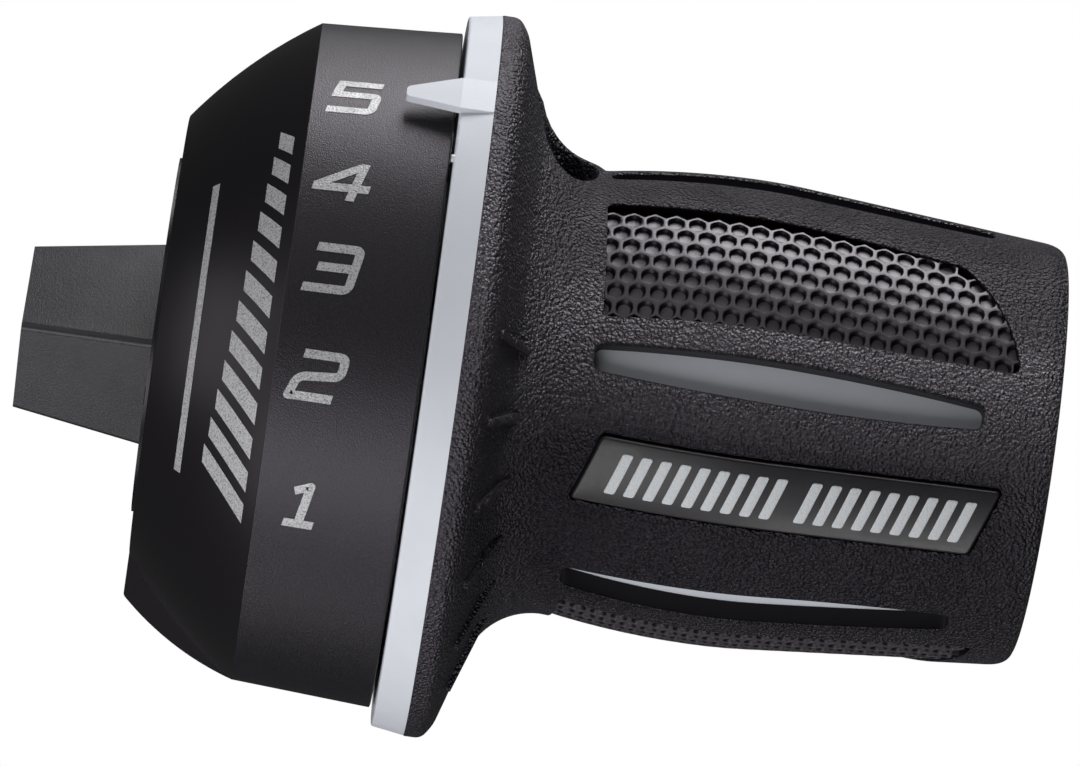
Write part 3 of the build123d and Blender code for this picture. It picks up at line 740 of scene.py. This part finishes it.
def housingMaterial():
    look = housingLook
    material, tree, skin = newMaterial("housing plastic", {
        "Specular IOR Level": look["specular"], "Specular Tint": shineTint})
    point = objectPoint(tree)
    edge, blend = drum["start"] * mm, look["blend"] * mm
    onDrum = spread(tree, alongBar(tree, point), edge - blend, edge + blend, 0.0, 1.0)
    speckle = addGrain(tree, look["grain"], point)["Speckle"]
    flecked = ramp(tree, speckle, zip(look["stops"], (look["drum"], look["fleck"])))
    colour = tree.nodes.new("ShaderNodeMix")
    colour.data_type = "RGBA"
    colour.inputs["A"].default_value = (*look["cone"], 1.0)
    tree.links.new(onDrum, colour.inputs["Factor"])
    tree.links.new(flecked, colour.inputs["B"])
    coneBump, drumBump = look["bump"]
    depth = spread(tree, onDrum, 0.0, 1.0, coneBump / drumBump, 1.0)
    surface(tree, skin, colour.outputs["Result"],
            spread(tree, onDrum, 0.0, 1.0, *look["roughness"]),
            bumpFrom(tree, maths(tree, "MULTIPLY", speckle, depth), drumBump))
    return material


def evenFinish(name, low, high, roughness, sizes, bump, plain):  # one colour, slow blotches and a fine grain
    material, tree, skin = newMaterial(name, plain)
    texture = addGrain(tree, sizes)
    surface(tree, skin,
            ramp(tree, texture["Blotch"], zip(noiseRange, (low, high))),
            spread(tree, texture["Speckle"], *noiseRange, *roughness),
            bumpFrom(tree, texture["Speckle"], bump))
    return material


def plainPlastic(name, low, high, roughness, size=0.3, bump=0.006, specular=0.4):
    sizes = (size, size * 0.6, size * 20)  # grain, speckle and blotch
    return evenFinish(name, low, high, roughness, sizes, bump, {"Specular IOR Level": specular})


def metal(name, low, high, roughness, size=0.4, bump=0.004):
    return evenFinish(name, low, high, roughness, (size, size, size * 12), bump, {"Metallic": 1.0})


printLook = {"grain": (0.18, 0.13, 1.5), "fade": 0.22, "roughness": (0.38, 0.55), "bump": 0.02}


def printMaterial(name, ink, thin, coverage, metallic=0.0):  # print that breaks up on the grain below it
    material, tree, skin = newMaterial(name, {"Metallic": metallic})
    texture = addGrain(tree, printLook["grain"])
    surface(tree, skin,
            ramp(tree, texture["Speckle"], [(coverage, thin), (coverage + printLook["fade"], ink)]),
            spread(tree, texture["Blotch"], *noiseRange, *printLook["roughness"]),
            bumpFrom(tree, texture["Height"], printLook["bump"]))
    return material


rubberPaint = gripRubberMaterial()
recessPaint = plainPlastic("recess rubber", (0.004, 0.0034, 0.0052), (0.006, 0.0051, 0.0078), (0.40, 0.46),
                           bump=0.004, specular=0.2)
combPaint = honeycombMaterial()
housingPaint = housingMaterial()
ringPaint = plainPlastic("indicator plastic", (0.65, 0.675, 0.735), (0.69, 0.715, 0.775), (0.42, 0.5),
                         size=0.25, bump=0.008)
badgePaint = plainPlastic("badge plastic", (0.010, 0.009, 0.0115), (0.017, 0.0155, 0.019), (0.34, 0.42),
                          specular=0.5)
nozzlePaint = plainPlastic("nozzle plastic", (0.018, 0.0160, 0.0195), (0.026, 0.0235, 0.0285), (0.28, 0.34),
                           size=0.2, bump=0.02)
spoolPaint = plainPlastic("spool plastic", (0.50, 0.50, 0.47), (0.56, 0.56, 0.53), (0.4, 0.5))
washerPaint = plainPlastic("washer plastic", (0.60, 0.58, 0.52), (0.66, 0.64, 0.58), (0.4, 0.5), bump=0.004)
steelPaint = metal("steel", (0.42, 0.42, 0.43), (0.55, 0.55, 0.56), (0.28, 0.4))
springPaint = metal("spring steel", (0.35, 0.35, 0.37), (0.5, 0.5, 0.52), (0.22, 0.32))
silverPaint = printMaterial("silver print", (0.48, 0.48, 0.495), (0.20, 0.20, 0.21), 0.32, metallic=0.3)
whitePaint = printMaterial("white print", (0.63, 0.65, 0.68), (0.52, 0.54, 0.57), 0.30)

nodePaint = {
    "housing": housingPaint, "cable_nozzle": nozzlePaint, "grip_core": ringPaint, "badge_plate": badgePaint,
    "grip_cover": rubberPaint, "cable_spool": spoolPaint, "thrust_washer": washerPaint,
    "end_washer": washerPaint, "retaining_ring": springPaint, "detent_spring": springPaint,
    "clamp_bolt": steelPaint, "clamp_nut": steelPaint,
}
for name, paint in nodePaint.items():
    nodes[name].data.materials.clear()
    nodes[name].data.materials.append(paint)
for paint in (rubberPaint, recessPaint):
    gripPiece.data.materials.append(paint)
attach(gripPiece, "grip")
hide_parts("grip_cover")
print("materials made:", len(bpy.data.materials))

ribSource = ribShape()
ribPiece = treeMesh("flare_ribs", ribTree(), {
    "Rib": ribSource, "Count": ribs["count"], "Pitch": math.radians(ribs["pitch"]),
    "First": math.radians(90 - ribs["first"]), "Material": rubberPaint})
bpy.data.objects.remove(ribSource)
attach(ribPiece, "grip")
print("flare ribs:", len(ribPiece.data.polygons), "faces")


# Honeycomb in the four windows

comb = {"pitch": 1.64, "rows": 12, "columns": 22, "corner": (11.35, -7.18), "below": 0.22, "clear": 0.02,
        "smooth": 35.0, "sides": 12, "onFloor": 0.005, "onLand": 0.05,
        # rings of one pit from its rim to its floor: step inwards, corner over flat, height
        "rings": [(0.0, 1.1547, 0.0), (0.12, 1.05, -0.015), (0.05, 1.03, -0.07), (0.14, 1.01, -0.4),
                  (0.06, 1.01, -0.41)],
        "room": {"start": 2.0, "low": 0.0, "high": 0.32, "edge": 0.2}}


def pitShape():
    n, reach = comb["sides"], comb["pitch"] / 2
    verts, faces = [], []
    for inwards, corner, height in comb["rings"]:
        reach -= inwards
        for k in range(n):
            turn = math.radians(360 / n * k)
            far = reach * (1.0 if k % 2 == 0 else corner)
            verts.append((far * math.cos(turn) * mm, far * math.sin(turn) * mm, height * mm))
    for a in range(0, len(verts) - n, n):
        faces += [(a + k, a + (k + 1) % n, a + n + (k + 1) % n, a + n + k) for k in range(n)]
    faces.append(tuple(range(len(verts) - n, len(verts))))
    mesh = bpy.data.meshes.new("pit_shape")
    mesh.from_pydata(verts, [], faces)
    return linked("pit_shape", mesh)


def combTree():
    tree = newTree("honeycombSheet", [("Pit", "Object"), ("Columns", "Int"), ("Rows", "Int"),
                                      ("Pitch", "Float"), ("Material", "Material")])
    put, join = tree.nodes.new, tree.links.new
    given = put("NodeGroupInput")
    columns, rows, pitch = (given.outputs[label] for label in ("Columns", "Rows", "Pitch"))
    points = put("GeometryNodePoints")
    join(maths(tree, "MULTIPLY", columns, rows), points.inputs["Count"])
    index = put("GeometryNodeInputIndex").outputs[0]
    row = maths(tree, "FLOOR", maths(tree, "DIVIDE", index, columns))
    column = maths(tree, "SUBTRACT", index, maths(tree, "MULTIPLY", row, columns))
    shift = maths(tree, "MULTIPLY", maths(tree, "MODULO", row, 2.0), 0.5)  # every other row by half a pitch
    rowGap = maths(tree, "MULTIPLY", pitch, math.sqrt(3) / 2)
    place = put("ShaderNodeCombineXYZ")
    join(maths(tree, "MULTIPLY", maths(tree, "ADD", column, shift), pitch), place.inputs["X"])
    join(maths(tree, "MULTIPLY", row, rowGap), place.inputs["Y"])
    move = put("GeometryNodeSetPosition")
    join(points.outputs[0], move.inputs["Geometry"])
    join(place.outputs[0], move.inputs["Position"])
    copiesOn(tree, given, "Pit", move.outputs[0])
    return tree


def combRoom(side):  # where a cell's middle may lie: clear of the far edges, past the edge at the start
    start, low, high = comb["room"]["start"], comb["room"]["low"], comb["room"]["high"]
    wider = {"start": windows["start"] - start, "length": windows["length"] + start,
             "bow": windows["bow"] + start,
             "low": tuple(w + low for w in windows["low"]),
             "high": tuple(w - high for w in windows["high"])}
    return grown(windowOutline({**windows, **wider}, side), -comb["room"]["edge"])


def combInWindow(sheet, perCell, angle, side):  # a flat sheet, trimmed to the window and laid on the barrel
    work = bmesh.new()
    work.from_mesh(sheet)
    outline = grown(windowOutline(windows, side), -comb["clear"])
    bmesh.ops.translate(work, verts=work.verts, vec=Vector((*comb["corner"], 0)) * mm)
    work.verts.ensure_lookup_table()
    cells = [work.verts[i:i + perCell] for i in range(0, len(work.verts), perCell)]
    middles = np.array([(sum((v.co for v in cell), Vector()) / perCell / mm).xy for cell in cells])
    kept = insideOutline(middles, combRoom(side))
    dropped = [v for cell, keep in zip(cells, kept) if not keep for v in cell]
    bmesh.ops.delete(work, geom=dropped, context="VERTS")
    bmesh.ops.remove_doubles(work, verts=work.verts, dist=weldGap)
    middle = outline.mean(axis=0)
    for a, b in zip(outline, np.roll(outline, -1, axis=0)):
        out = Vector((b[1] - a[1], a[0] - b[0], 0))
        if out.dot(Vector((*((a + b) / 2 - middle), 0))) < 0:
            out.negate()
        parts = work.verts[:] + work.edges[:] + work.faces[:]
        bmesh.ops.bisect_plane(work, geom=parts, dist=weldGap / 10, plane_co=Vector((*a, 0)) * mm,
                               plane_no=out, clear_outer=True)
    skirt = bmesh.ops.extrude_edge_only(work, edges=[e for e in work.edges if e.is_boundary])
    for v in skirt["geom"]:
        if isinstance(v, bmesh.types.BMVert):
            v.co.z = (comb["below"] - windows["depth"] - comb["clear"]) * mm
    # marks walls, lands and floors for the honeycomb paint, which puts painted shade on the walls and painted
    # reflections on the lands and floors
    deep = work.verts.layers.float.new("pit")
    floorAt = comb["rings"][-1][2]
    for v in work.verts:
        x, w, h = v.co / mm
        onFloor, onLand = abs(h - floorAt) < comb["onFloor"], h > -comb["onLand"]
        v[deep] = 1.0 if onFloor else 0.5 if onLand else 0.0
        r = float(skinRadius(x)) - comb["below"] + h
        v.co = onBar(x, r, angle + turnOf(w, r))
    return work


def honeycomb():
    pit = pitShape()
    flat = treeMesh("honeycomb_sheet", combTree(), {
        "Pit": pit, "Columns": comb["columns"], "Rows": comb["rows"], "Pitch": comb["pitch"] * mm,
        "Material": combPaint})
    whole = bmesh.new()
    for angle, side in windows["places"]:
        part = combInWindow(flat.data, len(pit.data.vertices), angle, side)
        patch = bpy.data.meshes.new("patch")
        part.to_mesh(patch)
        part.free()
        whole.from_mesh(patch)
        bpy.data.meshes.remove(patch)
    mesh = bpy.data.meshes.new("honeycomb")
    whole.to_mesh(mesh)
    whole.free()
    mesh.materials.append(combPaint)
    smoothed(mesh, comb["smooth"])
    bpy.data.objects.remove(flat)
    bpy.data.objects.remove(pit)
    return linked("honeycomb", mesh)


combPiece = honeycomb()
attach(combPiece, "grip")
print("honeycomb:", len(combPiece.data.polygons), "faces")


# Badge plate with a soft edge, and plain slanted bars on it

badgeBars = {"groups": [(15.9, 9), (30.6, 9)], "pitch": 1.5, "width": 0.85, "half": 1.7, "slant": 1.06,
             "corner": 0.22, "height": 0.1, "bury": 0.02, "edge": 0.06}


def plateOn(skin, outline, angle, proud, foot, edge, edgeSteps=4):  # a crowned plate that follows the barrel
    turns = [math.pi / 2 / edgeSteps * i for i in range(edgeSteps + 1)]
    steps = [(0.0, foot)] + [(-edge * (1 - math.cos(t)), -proud + edge * (1 - math.sin(t))) for t in turns]
    last = None
    for out, down in steps:
        places = [tuple(p) for p in grown(outline, out)]
        ring = skin.ring(places, angle, [float(skinRadius(x)) - down for x, _ in places])
        if last is None:
            skin.floor(ring, places, angle, lambda x: skinRadius(x) - foot)
        else:
            skin.strip(last, ring)
        last = ring
    skin.floor(last, places, angle, lambda x: skinRadius(x) + proud)


def badgePlate():
    skin = GripSkin(gripLine)
    plateOn(skin, badgeOutline(badge), badge["angle"], badge["proud"], badge["seat"] - badge["seatGap"],
            badge["edge"])
    return newObject("grip_badge", skin.verts, skin.faces)


def badgeMarks(bars):
    skin = GripSkin(gripLine)
    for x in [start + bars["pitch"] * i for start, count in bars["groups"] for i in range(count)]:
        start = x - bars["width"] / 2 - bars["slant"] / 2
        sides = slantedSides(start, bars["width"], bars["half"], bars["slant"])
        plateOn(skin, onBadge(softOutline(sides, [bars["corner"]] * 4)), badge["angle"],
                badge["proud"] + bars["height"], -badge["proud"] + bars["bury"], bars["edge"])
    return newObject("badge_bars", skin.verts, skin.faces)


badgePiece = badgePlate()
badgePiece.data.materials.append(badgePaint)
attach(badgePiece, "grip")
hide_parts("badge_plate")
barPiece = badgeMarks(badgeBars)
barPiece.data.materials.append(whitePaint)
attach(barPiece, "grip")
print("badge:", len(badgePiece.data.polygons), "faces, bars:", len(barPiece.data.polygons))


# Gear numbers on the drum and plain bars on the cone

printed = {"rise": 0.035, "bury": 0.02}  # how far a print stands above its wall and reaches below it
numbers = {"middle": -8.0, "width": 3.6, "height": 3.25, "slant": 0.62, "stroke": 0.68, "step": 0.35,
           "places": [(5, 50.0), (4, 30.8), (3, 15.0), (2, -3.2), (1, -25.5)]}  # number, angle round the bar
digitStrokes = {  # (across, up, roundness of the bend), across and up from 0 to 1
    1: [[(0.30, 0.84, 0), (0.60, 1.0, 0.05), (0.60, 0.0, 0)], [(0.28, 0.0, 0), (0.92, 0.0, 0)]],
    2: [[(0.08, 1.0, 0), (0.97, 1.0, 0.55), (0.97, 0.54, 0.45), (0.10, 0.46, 0.6), (0.02, 0.0, 0.05),
         (0.95, 0.0, 0)]],
    3: [[(0.05, 1.0, 0), (0.97, 1.0, 0.5), (0.97, 0.0, 0.55), (0.0, 0.0, 0)],
        [(0.18, 0.52, 0), (0.93, 0.52, 0)]],
    4: [[(0.74, 0.0, 0), (0.82, 1.04, 0)], [(0.75, 0.94, 0), (-0.08, 0.34, 0)],
        [(-0.12, 0.34, 0), (1.08, 0.34, 0)]],
    5: [[(0.97, 1.0, 0), (0.02, 1.0, 0)], [(0.11, 1.0, 0), (0.08, 0.57, 0)],
        [(-0.01, 0.57, 0), (0.95, 0.57, 0.4), (0.95, 0.0, 0.45), (0.0, 0.0, 0)]],
}


def drumRadius(along):
    share = (along - drum["start"]) / (drum["end"] - drum["start"])
    return drum["radius"] + share * (drum["mouth"] - drum["radius"])


def coneArc(d):
    middle = ((d["coneStart"] + d["start"]) / 2, (d["coneRadius"] + d["radius"]) / 2 + d["coneBulge"])
    return arcThrough((d["coneStart"], d["coneRadius"]), middle, (d["start"], d["radius"]), d["coneSteps"])


coneX, coneR = np.array(coneArc(drum)).T


def coneRadius(along):
    return float(np.interp(along, coneX, coneR))


def strokeSolid(verts, faces, line, half, wrap):  # a printed stroke: a thin closed strip along a line
    points = [Vector(p) for p in line]
    base = len(verts)
    for i, p in enumerate(points):
        before = (p - points[i - 1]).normalized() if i else None
        after = (points[i + 1] - p).normalized() if i + 1 < len(points) else None
        along = ((before or after) + (after or before)).normalized()
        lean = along.dot(after or before)
        sideways = Vector((-along.y, along.x)) * half / max(lean, 0.5)
        left, right = p + sideways, p - sideways
        for place, height in ((left, printed["rise"]), (right, printed["rise"]),
                              (right, -printed["bury"]), (left, -printed["bury"])):
            verts.append(wrap(place.x, place.y, height))
    last = len(verts) - 4
    for a in range(base, last, 4):
        faces.extend((a + k, a + (k + 1) % 4, a + 4 + (k + 1) % 4, a + 4 + k) for k in range(4))
    faces += [(base + 3, base + 2, base + 1, base), (last, last + 1, last + 2, last + 3)]


def gearNumbers():
    verts, faces = [], []
    for digit, angle in numbers["places"]:
        def wrap(across, up, height):
            x = numbers["middle"] + across + numbers["slant"] * up / numbers["height"]
            r = drumRadius(x)
            return onBar(x, r + height, angle + math.degrees(up / r))
        for stroke in digitStrokes[digit]:
            line = [((a - 0.5) * numbers["width"], (b - 0.5) * numbers["height"]) for a, b, _ in stroke]
            fine = softLine(line, [bent for _, _, bent in stroke[1:-1]], numbers["step"])
            strokeSolid(verts, faces, fine, numbers["stroke"] / 2, wrap)
    return newObject("gear_numbers", verts, faces)


coneMarks = {"high": 40.0, "low": -34.0, "count": 12, "fill": 0.62, "near": -12.2, "heights": (1.1, 3.6),
             "slant": 2.2, "cells": 6,
             "line": {"at": -17.6, "width": 0.5, "high": 35.0, "low": -29.0, "steps": 60}}


def coneBar(verts, faces, top, turn, size):  # one bar: two curved layers of cells and the walls between them
    n = coneMarks["cells"]
    base, layerSize = len(verts), (n + 1) ** 2

    def at(layer, a, b):
        return base + layer * layerSize + a * (n + 1) + b

    for height in (printed["rise"], -printed["bury"]):
        for a in range(n + 1):
            for b in range(n + 1):
                x = coneMarks["near"] - size * b / n
                lean = coneMarks["slant"] * (x - coneMarks["near"])
                verts.append(onBar(x, coneRadius(x) + height, top - turn * a / n - lean))
    for a in range(n):
        for b in range(n):
            faces.append((at(0, a, b), at(0, a, b + 1), at(0, a + 1, b + 1), at(0, a + 1, b)))
            faces.append((at(1, a, b), at(1, a + 1, b), at(1, a + 1, b + 1), at(1, a, b + 1)))
    rim = [(a, 0) for a in range(n)] + [(n, b) for b in range(n)]
    rim += [(a, n) for a in range(n, 0, -1)] + [(0, b) for b in range(n, 0, -1)]
    for p, q in zip(rim, rim[1:] + rim[:1]):
        faces.append((at(0, *p), at(0, *q), at(1, *q), at(1, *p)))


def coneBars():
    verts, faces = [], []
    count = coneMarks["count"]
    step = (coneMarks["high"] - coneMarks["low"]) / count
    short, tall = coneMarks["heights"]
    for i in range(count):
        size = short + (tall - short) * i / (count - 1)
        coneBar(verts, faces, coneMarks["high"] - step * i, step * coneMarks["fill"], size)
    below = coneMarks["line"]

    def wrap(across, up, height):
        x = below["at"] + across
        return onBar(x, coneRadius(x) + height, up)

    line = [(0.0, a) for a in np.linspace(below["high"], below["low"], below["steps"])]
    strokeSolid(verts, faces, line, below["width"] / 2, wrap)
    return newObject("cone_bars", verts, faces)


for piece in (gearNumbers(), coneBars()):
    piece.data.materials.append(silverPaint)
    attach(piece, "housing")
    print(piece.name, len(piece.data.polygons), "faces")


# Floor, light and camera

studio = {"floorDrop": 700.0, "floorSize": 360.0, "floorBack": 180.0, "floorColour": (0.8, 0.8, 0.8, 1.0),
          "floorRoughness": 0.7, "worldDim": 0.045}
view = {"from": (-10.6, -667.0, 0.0), "at": (9.5, 0.0, 0.37), "roll": 7.9, "lens": 283.0, "sensor": 36.0,
        "clip": (10.0, 20000.0)}
lamps = {
    "key": {"from": (57, 25, 350), "at": (57, 10, 0), "size": (185, 220), "watts": 1.30},
    "fill": {"from": (-230, -330, 250), "at": (0, 0, 0), "size": (420, 360), "watts": 0.33},
    "card": {"from": (-80, -135, -98), "at": (-15, 0, 0), "size": (215, 110), "watts": 0.23},
    "low": {"from": (-95, -20, -300), "at": (-25, 0, 0), "size": (80, 120), "watts": 0.11},
    "under": {"from": (120, -155, -255), "at": (35, 0, 0), "size": (90, 130), "watts": 0.20},
    "side": {"from": (-300, -60, 10), "at": (0, 0, 0), "size": (150, 150), "watts": 0.08},
    "back": {"from": (15, 240, 290), "at": (15, 0, 0), "size": (200, 120), "watts": 0.11},
}


def plainFloor():
    half, depth, z = studio["floorSize"] / 2, studio["floorBack"], -studio["floorDrop"]
    corners = [(-half, -half, z), (half, -half, z), (half, depth, z), (-half, depth, z)]
    mesh = bpy.data.meshes.new("floor")
    mesh.from_pydata([Vector(c) * mm for c in corners], [], [(0, 1, 2, 3)])
    piece = linked("floor", mesh)
    mesh.materials.append(newMaterial("floor", {
        "Base Color": studio["floorColour"], "Roughness": studio["floorRoughness"]})[0])


def softLamp(name, lamp):
    data = bpy.data.lights.new(name, "AREA")
    data.shape = "RECTANGLE"
    data.size, data.size_y = (s * mm for s in lamp["size"])
    data.energy = lamp["watts"]
    light = linked(name, data)
    light.visible_camera = False
    light.location = Vector(lamp["from"]) * mm
    aim = (Vector(lamp["at"]) - Vector(lamp["from"])).normalized()
    light.rotation_mode = "QUATERNION"
    light.rotation_quaternion = aim.to_track_quat("-Z", "Y")


def whiteWorld():  # white where it is seen, dim as a light
    world = bpy.data.worlds.new("studio")
    world.use_nodes = True
    tree = world.node_tree
    back = tree.nodes["Background"]
    back.inputs["Color"].default_value = (1.0, 1.0, 1.0, 1.0)
    rays = tree.nodes.new("ShaderNodeLightPath").outputs
    seen = maths(tree, "MAXIMUM", rays["Is Camera Ray"], rays["Is Transmission Ray"])
    tree.links.new(spread(tree, seen, 0.0, 1.0, studio["worldDim"], 1.0), back.inputs["Strength"])
    scene.world = world


def photoCamera():
    data = bpy.data.cameras.new("camera")
    data.lens = view["lens"]
    data.sensor_width = view["sensor"]
    data.clip_start, data.clip_end = (c * mm for c in view["clip"])
    camera = linked("camera", data)
    place = Vector(view["from"]) * mm
    back = (place - Vector(view["at"]) * mm).normalized()
    turn = back.to_track_quat("Z", "Y").to_matrix().to_4x4()
    roll = Matrix.Rotation(math.radians(view["roll"]), 4, "Z")
    camera.matrix_world = Matrix.Translation(place) @ turn @ roll
    scene.camera = camera


plainFloor()
for name, lamp in lamps.items():
    softLamp(name, lamp)
whiteWorld()
photoCamera()
scene.view_settings.view_transform = "Standard"
print("studio ready")
